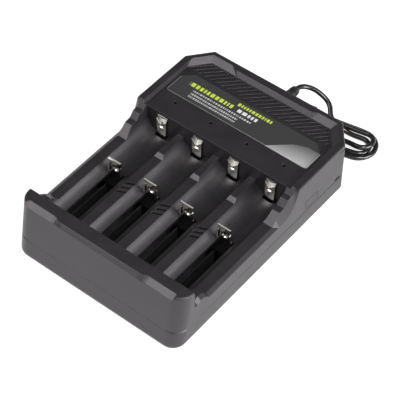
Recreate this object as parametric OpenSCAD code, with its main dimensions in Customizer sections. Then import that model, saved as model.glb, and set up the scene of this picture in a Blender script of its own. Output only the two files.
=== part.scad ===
// Four-bay charger for cylindrical lithium cells, fed by a cord with a USB plug.
// The case is two moulded shells. Each bay is a trough with a fixed contact at the
// head and a sprung sliding contact, so that it takes short and long cells.
// Millimetres. X runs across the bays, Y from the front wall to the head, Z up.
// The origin is on the ground under the middle of the case.

/* [Case] */
// Width of the case across the bays
case_w = 95; // [93:1:110]
// Length of the case from the front wall to the back wall
case_l = 136; // [132:1:170]
// Height of the case
case_h = 31.5; // [31:0.5:36]
// Height of the joint between the two shells
seam_z = 11; // [10.5:0.1:11.4]
// Wall thickness of the shells
wall = 2; // [1.6:0.1:2.4]
// Radius of the two front corners in plan
front_r = 7; // [5:0.5:9]
// Cut of the back corners, measured across the case
back_cut_x = 9.5; // [7:0.5:11]
// Cut of the back corners, measured along the case
back_cut_y = 11.5; // [9:0.5:12.5]
// How far the front face leans back at its top
front_lean = 5.5; // [3:0.5:6]
// Radius round the bottom edge
base_r = 3; // [1.5:0.5:4]
// Rounding of the top outer edge
edge_r = 0.8; // [0.4:0.1:1.2]
// Depth of the groove where the shells meet
seam_groove = 0.35; // [0.2:0.05:0.5]

/* [Front wall] */
// Thickness of the front wall at its top, from the foot of the front face
front_wall = 13.5; // [12.5:0.5:16]
// Height of the light band along the front wall's top edge
band_h = 1.8; // [1.5:0.1:3]
// Distance of the band's upper edge from the front, near its ends
band_wide = 8.2; // [7.6:0.2:9]
// Distance of the band's upper edge from the front, in its middle
band_narrow = 6.9; // [6.4:0.1:7.4]
// Length of the narrow middle of the band
band_mid_l = 45; // [30:1:60]

/* [Bays] */
// Distance between the middles of neighbouring bays
bay_pitch = 21.4; // [21:0.1:22]
// Radius of a trough, which is half the thickest cell's diameter
trough_r = 9.25; // [9:0.05:9.4]
// Height of the cell's axis
axis_z = 24; // [23.6:0.1:24.4]
// Height of the ridges and side strips between the troughs
ledge_z = 19.8; // [19:0.1:20]
// Height of the ridges close to the head
rib_z = 21.5; // [21:0.1:22]
// Length of the raised ridges in front of the head
rib_l = 14.5; // [10:0.5:18]
// Thickness of a trough's floor
floor_t = 1.6; // [1.2:0.1:1.65]
// Width of the slot that a sliding contact runs in
slot_w = 7.8; // [7.6:0.1:9]
// Free length between the fixed contact and the slider at rest, for the shortest cell
rest_gap = 31.1; // [30:0.1:36]

/* [Head] */
// Length of the head, which holds the circuit board
head_l = 47.5; // [46:0.5:52]
// Depth of the recessed panel below the top of the head
panel_drop = 2.1; // [1.5:0.1:2.6]
// Thickness of the panel
panel_t = 1.8; // [1.4:0.1:2]
// Width of the rim beside the panel
rim_side = 3.9; // [3:0.1:5]
// Width of the rim behind the panel, near its ends
rim_back = 2.6; // [2.2:0.1:3.4]
// Extra width of the rim behind the panel, in its middle
rim_extra = 1.6; // [0.8:0.1:2]
// Plan width of the slope down to the panel at the back
rim_slope = 3.4; // [2.8:0.1:3.8]
// Plan width of the slope down to the panel at the sides
rim_slope_side = 0.7; // [0.6:0.1:1.6]
// Distance from the panel's front edge to the indicator holes
led_y = 9.5; // [8:0.5:10.5]
// Diameter of the indicator holes
led_hole_d = 1.8; // [1.5:0.1:2.4]
// Pitch of the slanted grooves along the back of the panel
groove_pitch = 3.4; // [3:0.1:4]
// Width of a groove, measured across the case
groove_w = 1.7; // [1.2:0.1:2]
// Depth of a groove
groove_depth = 0.9; // [0.5:0.1:1]
// Length of the grooved strip along the case
groove_l = 8.6; // [7:0.2:9]

/* [Label] */
// Gap between each end of the label and the side of the panel
label_side = 1.6; // [0.8:0.2:4]
// Distance from the panel's front edge to the label
label_y = 13.8; // [13:0.2:14.6]
// Gap between the label and the grooves behind it
label_back = 2.1; // [1.4:0.1:4]
// Thickness of the label film
label_t = 0.2; // [0.1:0.05:0.3]

/* [Cheeks] */
// Length of the rise from the side strips up to the head
rise_l = 17; // [14:0.5:20]
// Height of the lower step above the side strips
step_h = 5.1; // [4:0.1:6]
// Depth of the upper step below the top of the head
step_drop = 3.3; // [2.5:0.1:4]
// Length of the bump beside the front wall
bump_l = 10.2; // [8:0.2:14]
// Height of the bump above the side strips
bump_h = 3.3; // [2:0.1:4]
// Depth of the chamfer along the top edge of each cheek
cheek_chamfer = 1.2; // [0.6:0.1:1.6]

/* [Sliding contacts] */
// Width of a sliding contact plate
plate_w = 7.2; // [6.6:0.1:7.3]
// Thickness of the sheet that the contacts are bent from
sheet_t = 0.5; // [0.4:0.05:0.6]
// Height of a sliding contact's top edge
plate_top = 26.5; // [25.5:0.1:28]
// Depth of a sliding contact's folded side edges
fold_l = 1.4; // [1:0.1:1.5]
// Depth of a sliding contact's folded top edge
flap_l = 1; // [0.7:0.1:1.2]
// Height of the pressed dome that touches the cell
dome_h = 1.2; // [0.8:0.1:1.4]
// Distance of the dome's middle below the cell's axis
dome_drop = 2.7; // [2:0.1:3]
// Length of the carriage below a sliding contact
carriage_l = 8.6; // [8:0.2:10]
// Width of the carriage
carriage_w = 10.6; // [10:0.1:11]
// Distance of the guide ribs from the middle of a bay
guide_x = 2.8; // [2.7:0.05:2.9]
// Thickness of a guide rib
guide_t = 0.6; // [0.5:0.05:0.8]
// Gap kept between the sliders and the shells
run_gap = 0.3; // [0.2:0.05:0.35]
// Outer diameter of a slider spring
spring_d = 4.2; // [3.6:0.1:4.4]
// Wire diameter of a slider spring
spring_wire = 0.6; // [0.5:0.05:0.7]
// Height of a slider spring's axis
spring_z = 7; // [6.5:0.1:7.5]

/* [Fixed contacts] */
// Width of a fixed contact at its top
contact_w = 5.8; // [5.4:0.1:6.4]
// Width of a fixed contact at its foot
contact_foot_w = 4.8; // [4:0.1:5]
// How far a fixed contact bulges out of the head's front wall
contact_out = 1.7; // [1.4:0.1:2.2]

/* [Inside] */
// Thickness of the circuit board
board_t = 1.6; // [1.2:0.1:1.6]
// Gap between each end of the circuit board and the side wall
board_side = 3.5; // [2:0.5:8]
// Length of the circuit board along the case
board_l = 24; // [23:0.5:25]
// Height of an indicator lamp above the board
led_h = 4.2; // [3.8:0.1:4.6]
// Diameter of an indicator lamp
led_d = 3; // [2.6:0.1:3]
// Radius of the screw bosses in the top shell
boss_r = 2.6; // [2.4:0.1:3]
// Thread radius of the case screws
screw_r = 1.2; // [1.1:0.05:1.3]
// Length of a case screw under its head
screw_l = 14; // [12:0.5:16]

/* [Cord] */
// Diameter of the cord
cord_d = 2.6; // [2.4:0.1:2.8]
// Height at which the cord leaves the back wall
cord_z = 16.5; // [16:0.5:18]
// Radius of the strain relief's neck in the back wall
neck_r = 2.6; // [2.4:0.1:3]
// Length of the strain relief outside the back wall
relief_l = 15.7; // [14:0.1:15.7]
// Length of the plug's moulded grip
plug_l = 26; // [24:0.5:28]
// Width of the plug's moulded grip
plug_w = 15.4; // [15:0.2:16]
// Height of the plug's moulded grip
plug_h = 7.6; // [7:0.2:8.4]

/* [Hidden] */

// Colours
shell_black = [0.20, 0.20, 0.21];
label_black = [0.13, 0.13, 0.14];
nickel = [0.80, 0.78, 0.73];
steel = [0.55, 0.55, 0.57];
board_green = [0.10, 0.32, 0.16];
lamp_clear = [0.88, 0.88, 0.86];
cord_black = [0.05, 0.05, 0.06];
tie_black = [0.16, 0.16, 0.17];
chip_black = [0.08, 0.08, 0.09];
sleeve_blue = [0.12, 0.14, 0.22];
lead_red = [0.55, 0.08, 0.07];
tongue_white = [0.85, 0.85, 0.83];

// Places along the case
bays = [-1.5, -0.5, 0.5, 1.5];
front_y = -case_l / 2;
back_y = case_l / 2;
wall_y = front_y + front_wall;
head_y = back_y - head_l;
arc_steps = 12;
far = 200;
eps = 0.01;

// Heights that follow the case, and the pieces that fit between its parts
panel_z = case_h - panel_drop;
band_z = case_h - band_h;
groove_clear = 0.8;
groove_y = back_y - rim_back - rim_slope - groove_clear - groove_l;
label_w = case_w - 2 * (rim_side + rim_slope_side + label_side);
label_l = groove_y - label_back - head_y - label_y;
board_w = case_w - 2 * (wall + board_side);

// Places of the shells' inner parts
ceiling_z = panel_z - panel_t;
cheek_x = 1.5 * bay_pitch + sqrt(pow(trough_r, 2) - pow(axis_z - ledge_z, 2));
head_wall = wall;
lip_h = 1.2;
lip_gap = 0.1;
rebate = wall / 2 - lip_gap / 2;
ridge_under_z = ledge_z - 2.1;
trough_under = trough_r + floor_t;

// Places of the sliders: y of the plate's back face, and how far it can go forward
contact_y = head_y - contact_out;
plate_y = contact_y - rest_gap - dome_h;
slot_front = wall_y + 1.1;
slot_back = plate_y + 1.8;

// Places of the slider springs: how deep each hooks into its carriage, and where its strip stands
hook_l = 2;
anchor_gap = 1.2;
anchor_y = head_y + head_wall + anchor_gap;
anchor_w = 3.2;
anchor_foot = 3;

// Places of the board and its lamps
board_z = ceiling_z - 0.2 - led_h;
board_y = head_y + head_wall + 0.4;
board_under = board_z - board_t;
stud_x = bay_pitch;
stud_y = board_y + board_l - 4;

// The notch that opens the case, and the faint outline of a moulding insert in each side
notch_l = 3.4;
notch_h = 1.7;
notch_gap = 2.6;
insert_l = 10;
insert_h = 5;
insert_y = 6;
insert_z = 1.6;
line_w = 0.4;
line_t = 0.12;

// Places of the case screws: the seat of the head is the roof of its counterbore
head_screw_r = 2.5;
head_screw_h = 1.9;
seat_z = 5;
bore_gap = 0.3;
front_screw_x = case_w / 2 - 8.5;
front_screw_y = front_y + 8.2;
back_screw_x = case_w / 2 - 10.5;
back_screw_y = back_y - 15;
screw_spots = [
    [-front_screw_x, front_screw_y], [front_screw_x, front_screw_y],
    [-back_screw_x, back_screw_y], [back_screw_x, back_screw_y]
];

// The cord: the hank lies on the ground close behind the head, turned a little
hank_l = 50.6;
hank_w = 20.9;
hank_h = 5.6;
hank_band = 5.8;
hank_x = 22.7;
hank_y = 82.9;
hank_turn = 8.5;
tie_x = -14.8;
tie_w = 4;
tie_t = 0.8;
plug_x = -12;
plug_y = 76.1;

// The plug's metal shell: the standard's sizes, and how deep it sits in the grip
shell_l = 18.75;
shell_w = 12;
shell_h = 4.5;
shell_t = 0.3;
shell_in = 4;

// Route of the lead: out of the strain relief, over and down to the hank
lead_route = [
    [0, back_y + relief_l, cord_z], [0, back_y + relief_l + 1.2, cord_z], [0.4, 87.2, 16.1],
    [2.1, 89.9, 15.1], [5.3, 92, 13.7], [9.2, 93, 11.7],
    [13, 92.9, 9.8], [15.9, 91.4, 8.2], [17.9, 88.9, 6.9], [20.5, 87.3, 5.6]
];
// Route of the tail: off the top of the hank's left end and into the plug
tail_route = [
    [2.5, 83.5, 4], [-0.1, 81.4, 4], [-4.4, 78.5, 3.9], [-8.2, 76.7, 3.8], [plug_x, plug_y, plug_h / 2]
];

// Height of the front face's lean at a height z
function lean(z) = front_lean * z / case_h;

// Plan outline of the case at height z, drawn in by a distance, counter-clockwise from the left front
function outline(inset, z) =
    let (
        hw = case_w / 2 - inset,
        r = front_r - inset,
        yf = front_y + lean(z) + inset,
        cut = norm([back_cut_x, back_cut_y]),
        side_y = back_y - back_cut_y + inset * (back_cut_y - cut) / back_cut_x,
        back_x = case_w / 2 - back_cut_x + inset * (back_cut_x - cut) / back_cut_y
    )
    concat(
        [
            for (k = [0:arc_steps])
                let (a = 180 + 90 * k / arc_steps)
                    [-hw + r + r * cos(a), yf + r + r * sin(a)]
        ],
        [
            for (k = [0:arc_steps])
                let (a = 270 + 90 * k / arc_steps)
                    [hw - r + r * cos(a), yf + r + r * sin(a)]
        ],
        [[hw, side_y], [back_x, back_y - inset], [-back_x, back_y - inset], [-hw, side_y]]
    );

// One ring of the case's skin: its outline set at its height
function ring(inset, z) = [for (p = outline(inset, z)) [p[0], p[1], z]];

// A closed solid through rings of points, each ring counter-clockwise seen from where the solid ends
module skin(rings) {
    n = len(rings);
    m = len(rings[0]);
    points = [for (r = rings) for (p = r) p];
    sides = [
        for (i = [0:n - 2]) for (j = [0:m - 1])
            let (a = i * m + j, b = i * m + (j + 1) % m, c = b + m, d = a + m)
                each [[a, d, c], [a, c, b]]
    ];
    polyhedron(points, concat([[for (j = [0:m - 1]) j]], [[for (j = [m - 1:-1:0]) (n - 1) * m + j]], sides));
}

// A flat strip of thickness t along a path of points, as one closed outline
function strip(path, t) =
    let (
        n = len(path),
        unit = [for (i = [0:n - 2]) let (d = path[i + 1] - path[i]) d / norm(d)],
        side = [for (u = unit) [-u[1], u[0]]],
        edge = [
            for (i = [0:n - 1])
                let (
                    a = side[max(i - 1, 0)],
                    b = side[min(i, n - 2)],
                    mid = (a + b) / norm(a + b)
                )
                    path[i] + mid * t / (mid * a)
        ]
    )
    concat(path, [for (i = [n - 1:-1:0]) edge[i]]);

// Draws an outline given in the YZ plane and makes it w wide across X, about x = 0
module across(w) {
    translate([-w / 2, 0, 0]) rotate([90, 0, 90]) linear_extrude(w) children();
}

// A box from its lowest to its highest corner
module box(low, high) {
    translate(low) cube(high - low);
}

// A cylinder along Y
module rod_y(r, y0, y1, fn = 48) {
    translate([0, y0, 0]) rotate([-90, 0, 0]) cylinder(h = y1 - y0, r = r, $fn = fn);
}

// Case

module trough_cut() {
    for (b = bays) translate([b * bay_pitch, 0, axis_z]) {
        rod_y(trough_r, wall_y, head_y, 96);
        box([-trough_r, wall_y, 0], [trough_r, head_y, far]);
    }
}

module trough_backs() {
    for (b = bays) translate([b * bay_pitch, 0, axis_z])
        rod_y(trough_under, front_y + wall, head_y + head_wall, 96);
}

// The open space above the ridges, with the slope up to the ridges at the head
module bay_cut() {
    across(2 * cheek_x) polygon([
        [wall_y, ledge_z], [head_y - rib_l - 2, ledge_z], [head_y - rib_l, rib_z],
        [head_y, rib_z], [head_y, far], [wall_y, far]
    ]);
}

// Height of a cheek's steps at a share of the rise, counted from the head down to the side strip
function step_z(share) =
    let (low = ledge_z + step_h, high = case_h - step_drop)
    lookup(share, [
        [0, case_h], [0.16, high], [0.33, high - 0.4], [0.48, low], [0.68, low - 0.3], [1, ledge_z]
    ]);

// Height of a cheek's smooth outer edge at a share of the rise: steep by the head, then level
function edge_z(share) = ledge_z + (case_h - ledge_z) * pow(1 - share, 4.5);

// Side profile of a cheek: a bump by the front wall, a low strip, then the rise up to the head. The
// bump's points are shares of its length and height. Outside is 0 over the steps and 1 at the outer edge
function cheek_profile(drop, outside) =
    let (
        bump = [[0, 0.72], [0.2, 0.72], [0.32, 0.9], [0.44, 1], [0.62, 1], [0.84, 0.5], [1, 0]],
        shares = [1, 0.84, 0.68, 0.58, 0.48, 0.4, 0.33, 0.24, 0.16, 0.1, 0.05, 0]
    )
    concat(
        [for (p = bump) [wall_y + p[0] * bump_l, ledge_z + p[1] * bump_h - drop]],
        [for (t = shares) [head_y - t * rise_l, step_z(t) * (1 - outside) + edge_z(t) * outside - drop]],
        [[head_y, far], [wall_y, far]]
    );

// Takes the space above each cheek away, from inside the outer trough to a chamfer at the side wall
module cheek_cut() {
    chamfer_w = 2;
    stations = [[cheek_x - 1, 0, 0], [case_w / 2 - chamfer_w, 0, 0], [case_w / 2 + eps, cheek_chamfer, 1]];
    rings = [for (s = stations) [for (p = cheek_profile(s[1], s[2])) [s[0], p[0], p[1]]]];
    skin(rings);
    mirror([1, 0, 0]) skin(rings);
}

// The band along the front wall's top edge: wide near its ends, narrow in its middle
module band_cut() {
    reach = 4;
    lift = 0.9;
    tip = case_w / 2 - 4;
    blend_l = 5;
    right_half = concat(
        [for (t = [0:0.25:1]) [band_mid_l / 2 + t * blend_l, (1 - cos(180 * t)) / 2]],
        [[tip - 1.6, 1], [tip, 0.2]]
    );
    left_half = [for (i = [len(right_half) - 1:-1:0]) [-right_half[i][0], right_half[i][1]]];
    stations = concat(left_half, right_half);
    skin([
        for (i = [0:len(stations) - 1])
            let (
                s = stations[i],
                at_end = (i == 0 || i == len(stations) - 1) ? 1 : 0,
                low = [front_y + lean(band_z), band_z + at_end * lift],
                top = [front_y + band_narrow + (band_wide - band_narrow) * s[1] - at_end * lift, case_h],
                d = (top - low) / norm(top - low) * reach
            )
                [for (p = [low - d, top + d, top + d + [-6, 6], low - d + [-6, 6]]) [s[0], p[0], p[1]]]
    ]);
}

// Outline of the head's recess, counter-clockwise from the left front. It is drawn in by side and
// back from the case, and the middle of its back edge is set in further by dent
function recess_ring(side, back, dent, z) =
    let (
        x = case_w / 2 - side,
        cut = norm([back_cut_x, back_cut_y]),
        side_y = back_y - back_cut_y + (side * back_cut_y - back * cut) / back_cut_x,
        back_x = case_w / 2 - back_cut_x + back * (back_cut_x - cut) / back_cut_y,
        end_y = back_y - back,
        mid_y = end_y - dent
    )
    [
        [-x, head_y - 1, z], [x, head_y - 1, z], [x, side_y, z], [back_x, end_y, z],
        [back_x - 11, end_y, z], [back_x - 15, mid_y, z], [-back_x + 15, mid_y, z], [-back_x + 10, end_y, z],
        [-back_x, end_y, z], [-x, side_y, z]
    ];

// The recess slopes from the rim down to the panel, and its walls run on above the rim
module recess_cut() {
    low = recess_ring(rim_side + rim_slope_side, rim_back + rim_slope, 0, panel_z);
    high = recess_ring(rim_side, rim_back, rim_extra, case_h);
    over = 1;
    grow = (case_h - panel_z + over) / (case_h - panel_z);
    skin([low, [for (i = [0:len(low) - 1]) low[i] + (high[i] - low[i]) * grow]]);
}

// Slanted grooves along the back of the panel, kept clear of the slopes round it
module groove_cut() {
    side = rim_side + rim_slope_side + groove_clear;
    field = recess_ring(side, rim_back + rim_slope + groove_clear, 0, 0);
    count = ceil(case_w / groove_pitch / 2) + 2;
    translate([0, 0, panel_z - groove_depth]) linear_extrude(groove_depth + eps) intersection() {
        polygon([for (p = field) [p[0], p[1]]]);
        for (k = [-count:count]) translate([k * groove_pitch, groove_y])
            polygon([
                [-groove_l / 2 - groove_w / 2, 0], [-groove_l / 2 + groove_w / 2, 0],
                [groove_l / 2 + groove_w / 2, groove_l], [groove_l / 2 - groove_w / 2, groove_l]
            ]);
    }
}

// Three short slanted slots in each ridge, beside the sliders
module vent_cut() {
    vent_w = 1.3;
    vent_l = 4.6;
    vent_pitch = 3.1;
    first_y = plate_y - 3;
    rise = 2;
    for (b = [-1, 0, 1]) for (k = [0:2])
        translate([b * bay_pitch, first_y - vent_pitch * k, ridge_under_z - 1]) linear_extrude(far)
            polygon([
                [-vent_l / 2, -rise / 2 - vent_w / 2], [vent_l / 2, rise / 2 - vent_w / 2],
                [vent_l / 2, rise / 2 + vent_w / 2], [-vent_l / 2, -rise / 2 + vent_w / 2]
            ]);
}

module slot_cut() {
    for (b = bays) translate([b * bay_pitch, 0, 0]) {
        box([-slot_w / 2, slot_front, seam_z - 1], [slot_w / 2, slot_back, axis_z]);
        box([-contact_w / 2 - 0.5, contact_y - 0.4, seam_z - 1], [contact_w / 2 + 0.5, head_y, axis_z]);
        box(
            [-contact_w / 2 - 0.3, head_y - 1, ceiling_z - 1.7],
            [contact_w / 2 + 0.3, head_y + head_wall + 1, ceiling_z]
        );
    }
}

module led_cut() {
    for (b = bays) translate([b * bay_pitch, head_y + led_y, ceiling_z - 1])
        cylinder(h = far, d = led_hole_d, $fn = 32);
}

module shell_cavity() {
    inner = [ring(wall, seam_z - 3), ring(wall, case_h)];
    difference() {
        union() {
            intersection() {
                skin(inner);
                box([-far, front_y, seam_z - 2], [far, back_y, ridge_under_z]);
            }
            intersection() {
                skin(inner);
                box([-far, head_y + head_wall, seam_z - 2], [far, back_y, ceiling_z]);
            }
            intersection() {
                skin(inner);
                box([-far, front_y, seam_z - 2], [far, wall_y - wall, band_z - wall]);
            }
            skin([ring(rebate, seam_z - 2), ring(rebate, seam_z + lip_h + lip_gap)]);
        }
        difference() {
            trough_backs();
            box([-far, front_y, 0], [far, back_y, seam_z + lip_h + lip_gap]);
        }
        for (s = screw_spots) translate([s[0], s[1], seam_z])
            cylinder(h = far, r = boss_r, $fn = 32);
        for (x = [-stud_x, stud_x]) translate([x, stud_y, board_z])
            cylinder(h = far, r = 2.2, $fn = 32);
    }
}

// The notch for the cord's strain relief, open down to the seam
module relief_cut() {
    r = neck_r + lip_gap;
    translate([0, back_y - wall - 1, cord_z]) rotate([-90, 0, 0]) cylinder(h = wall + 2, r = r, $fn = 48);
    box([-r, back_y - wall - 1, seam_z - 1], [r, back_y + 1, cord_z]);
}

// Notch for opening the case, in the right side close to the back
module notch_cut() {
    translate([case_w / 2, back_y - back_cut_y - notch_gap - notch_l, seam_z])
        box([-wall - 1, 0, 0], [1, notch_l, notch_h]);
}

// A raised minus sign on each ridge, at the sliding contacts' end
module minus_marks() {
    for (b = [-1, 0, 1]) translate([b * bay_pitch, wall_y + 5, ledge_z - eps])
        box([-0.25, -1.1, 0], [0.25, 1.1, 0.3]);
}

module top_shell() {
    color(shell_black) {
        top_shell_body();
        minus_marks();
    }
}

module top_shell_body() {
    difference() {
        skin([
            ring(seam_groove, seam_z), ring(0, seam_z + seam_groove), ring(0, case_h - edge_r),
            ring(edge_r * 0.3, case_h - edge_r * 0.3), ring(edge_r, case_h)
        ]);
        bay_cut();
        cheek_cut();
        trough_cut();
        band_cut();
        recess_cut();
        groove_cut();
        vent_cut();
        slot_cut();
        led_cut();
        shell_cavity();
        relief_cut();
        // Pilot bores for the case screws and the board screws
        for (s = screw_spots) translate([s[0], s[1], seam_z - 1])
            cylinder(h = screw_l + seat_z - seam_z + 2, r = screw_r + 0.05, $fn = 32);
        for (x = [-stud_x, stud_x]) translate([x, stud_y, board_z - 1])
            cylinder(h = 4.4, r = 0.95, $fn = 24);
        notch_cut();
        // Faint outline of a moulding insert in each side
        for (s = [-1, 1]) translate([s * case_w / 2, head_y + insert_y, seam_z + insert_z]) difference() {
            box([-line_t, 0, 0], [line_t, insert_l, insert_h]);
            box([-1, line_w, line_w], [1, insert_l - line_w, insert_h - line_w]);
        }
    }
}

module bottom_shell() {
    steps = 5;
    base = [
        for (k = [0:steps])
            let (a = 90 * k / steps)
                ring(base_r * (1 - sin(a)), base_r * (1 - cos(a)))
    ];
    rib_front = front_y + lean(seam_z) + wall;
    rib_back = plate_y + carriage_l / 2 + 1;
    lip_out = wall / 2 + lip_gap / 2;
    color(shell_black)
    difference() {
        union() {
            difference() {
                skin(concat(base, [ring(0, seam_z - seam_groove), ring(seam_groove, seam_z)]));
                skin([ring(wall, wall), ring(wall, seam_z + 1)]);
            }
            // Lip that locates the top shell
            difference() {
                skin([ring(lip_out, seam_z - 1), ring(lip_out, seam_z + lip_h)]);
                skin([ring(wall, seam_z - 2), ring(wall, seam_z + lip_h + 1)]);
                box([-neck_r - 1, back_y - wall - 1, seam_z], [neck_r + 1, back_y, seam_z + 3]);
                notch_cut();
            }
            // Tongue that closes the strain relief's notch
            box(
                [-neck_r, back_y - wall, seam_z - 1],
                [neck_r, back_y - seam_groove, cord_z - neck_r - lip_gap]
            );
            // Guide ribs for the slider carriages
            for (b = bays) for (s = [-1, 1]) translate([b * bay_pitch + s * guide_x, 0, 0])
                box([-guide_t / 2, rib_front, wall - 0.5], [guide_t / 2, rib_back, seam_z + 0.5]);
            for (s = screw_spots) translate([s[0], s[1], wall - 0.5])
                cylinder(h = seam_z - wall + 0.5, r = head_screw_r + 1.1, $fn = 48);
        }
        for (s = screw_spots) translate([s[0], s[1], -1]) {
            cylinder(h = seat_z + 1, r = head_screw_r + bore_gap, $fn = 48);
            cylinder(h = far, r = screw_r + bore_gap, $fn = 32);
        }
    }
}

module label_film() {
    hw = label_w / 2;
    y0 = head_y + label_y;
    y1 = y0 + label_l;
    cut = 5;
    r = 1.4;
    color(label_black)
    translate([0, 0, panel_z]) linear_extrude(label_t)
        polygon(concat(
            [for (k = [0:6]) let (a = 180 + 15 * k) [-hw + r + r * cos(a), y0 + r + r * sin(a)]],
            [for (k = [0:6]) let (a = 270 + 15 * k) [hw - r + r * cos(a), y0 + r + r * sin(a)]],
            [[hw, y1 - cut], [hw - cut, y1], [-hw + cut, y1], [-hw, y1 - cut]]
        ));
}

// Circuit board and what it carries

module circuit_board() {
    color(board_green)
    difference() {
        box([-board_w / 2, board_y, board_under], [board_w / 2, board_y + board_l, board_z]);
        for (x = [-stud_x, stud_x]) translate([x, stud_y, board_under - 1])
            cylinder(h = board_t + 2, r = 1.2, $fn = 24);
    }
}

module charge_chips() {
    chip = [4.9, 3.9, 1.5];
    leg = 0.4;
    color(chip_black)
    for (b = bays) translate([b * bay_pitch, board_y + board_l / 2, board_under]) {
        translate([-chip[0] / 2, -chip[1] / 2, -chip[2] - 0.1]) cube(chip);
        for (k = [-1.5:1:1.5]) translate([k * 1.27 - leg / 2, -3, -0.9]) cube([leg, 6, 0.9]);
    }
}

module filter_capacitor() {
    d = 6.3;
    h = 7.5;
    color(sleeve_blue)
    translate([8, board_y + board_l - 5, board_under - h]) union() {
        cylinder(h = h - 1.6, d = d, $fn = 40);
        translate([0, 0, h - 1.6]) cylinder(h = 0.8, d = d - 0.8, $fn = 40);
        translate([0, 0, h - 0.8]) cylinder(h = 0.8, d = d, $fn = 40);
    }
}

module board_screws() {
    color(steel)
    for (x = [-stud_x, stud_x]) translate([x, stud_y, board_under]) {
        translate([0, 0, -1.3]) cylinder(h = 1.3, r = 1.9, $fn = 32);
        translate([0, 0, -eps]) cylinder(h = board_t + 3, r = 0.9, $fn = 24);
    }
}

module indicator_led(i) {
    color(lamp_clear)
    translate([bays[i] * bay_pitch, head_y + led_y, board_z]) {
        cylinder(h = 1, d = led_d + 0.6, $fn = 32);
        cylinder(h = led_h - led_d / 2, d = led_d, $fn = 32);
        translate([0, 0, led_h - led_d / 2]) sphere(d = led_d, $fn = 32);
    }
}

// Two wires from the strain relief to the board
module supply_leads() {
    r = 0.6;
    start_y = back_y - wall - 1.8;
    end_y = board_y + board_l - 1.6;
    color(lead_red)
    for (x = [-1, 1]) translate([x * 1.1, 0, cord_z]) {
        rod_y(r, end_y, start_y, 24);
        translate([0, end_y, 0]) sphere(r = r, $fn = 24);
        translate([0, end_y, 0]) cylinder(h = board_under - cord_z, r = r, $fn = 24);
    }
}

// Contacts

// A bent strip: soldered on the board, up and out over the head wall, down its front to a foot
module fixed_contact(i) {
    out_z = ceiling_z - 0.2;
    foot_z = seam_z + 1.6;
    face_y = head_y - 0.6;
    path = [
        [board_y + 5, board_z + sheet_t], [board_y + 0.6, board_z + sheet_t],
        [board_y + 0.6, out_z], [head_y + 0.3, out_z], [head_y - 0.35, out_z - 0.6],
        [contact_y, out_z - 4.6], [face_y, out_z - 6], [face_y, foot_z]
    ];
    bar = [2.5, 0.45, 0.8];
    color(nickel)
    translate([bays[i] * bay_pitch, 0, 0]) {
        difference() {
            across(contact_w) polygon(strip([for (k = [len(path) - 1:-1:0]) path[k]], -sheet_t));
            contact_side_cut(out_z, foot_z);
        }
        // Pressed bar under the bulge
        translate([-bar[0] / 2, face_y - bar[1], out_z - 7.4]) cube([bar[0], bar[1] + sheet_t / 2, bar[2]]);
    }
}

// Cuts the sides of a contact so that they draw in towards the foot
module contact_side_cut(out_z, foot_z) {
    for (s = [0, 1]) mirror([s, 0, 0])
        translate([0, head_y, 0]) rotate([90, 0, 0]) linear_extrude(head_wall + contact_out)
            polygon([
                [contact_w / 2, out_z - 6], [far, out_z - 6],
                [far, foot_z - 1], [contact_foot_w / 2, foot_z - 1],
                [contact_foot_w / 2, out_z - 11]
            ]);
}

// A bent plate: it faces the cell, with its top and side edges folded forwards and its foot in the carriage
module slider_plate(i) {
    hw = plate_w / 2;
    front = plate_y - sheet_t;
    dome_z = axis_z - dome_drop;
    ball_r = 3.4;
    ball_y = plate_y + dome_h - ball_r;
    wing_low = dome_z - 3.8;
    wing_high = dome_z + 1.3;
    color(nickel)
    translate([bays[i] * bay_pitch, 0, 0]) difference() {
        union() {
            box([-hw, front, carriage_top()], [hw, plate_y, plate_top]);
            box([-hw, front - flap_l, plate_top - sheet_t], [hw, plate_y, plate_top]);
            for (s = [0, 1]) mirror([s, 0, 0])
                box([hw - sheet_t, front - fold_l, wing_low], [hw, plate_y, wing_high]);
            // Pressed dome that touches the cell
            intersection() {
                translate([0, ball_y, dome_z]) sphere(r = ball_r, $fn = 48);
                box([-hw, plate_y - 0.1, dome_z - hw], [hw, plate_y + ball_r, dome_z + hw]);
            }
        }
        intersection() {
            translate([0, ball_y, dome_z]) sphere(r = ball_r - sheet_t, $fn = 48);
            box([-hw, front - 0.1, dome_z - hw], [hw, plate_y + ball_r, dome_z + hw]);
        }
    }
}

function carriage_top() = axis_z - trough_under - run_gap;

// A moulded carriage that straddles the two guide ribs and hooks the spring
module slider_carriage(i) {
    hw = carriage_w / 2;
    groove = guide_t / 2 + run_gap / 2;
    front = plate_y - sheet_t / 2 - carriage_l / 2;
    back = front + carriage_l;
    color(shell_black)
    translate([bays[i] * bay_pitch, 0, 0]) difference() {
        box([-hw, front, wall + run_gap], [hw, back, carriage_top()]);
        for (s = [-1, 1]) translate([s * guide_x, 0, 0])
            box([-groove, front - 1, 0], [groove, back + 1, seam_z + 0.5 + run_gap]);
        // Pocket that the spring's eye hooks into
        translate([0, 0, spring_z]) rod_y(spring_d / 2 + lip_gap, back - hook_l, back + 1, 32);
    }
}

// An extension spring, relaxed to its rest length, with its turns as rounded rings
module slider_spring(i) {
    start = plate_y - sheet_t / 2 + carriage_l / 2 - hook_l;
    turns = 32;
    pitch = (anchor_y - start) / turns;
    r_out = spring_d / 2;
    r_in = r_out - spring_wire;
    color(steel)
    translate([bays[i] * bay_pitch, start, spring_z]) rotate([-90, 0, 0]) rotate_extrude($fn = 32)
        polygon(concat(
            [[r_in, 0]],
            [
                for (k = [0:turns - 1])
                    each [
                        [r_out, (k + 0.25) * pitch], [r_out, (k + 0.75) * pitch],
                        [r_out - 0.2, (k + 1) * pitch]
                    ]
            ],
            [[r_in, turns * pitch]]
        ));
}

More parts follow.
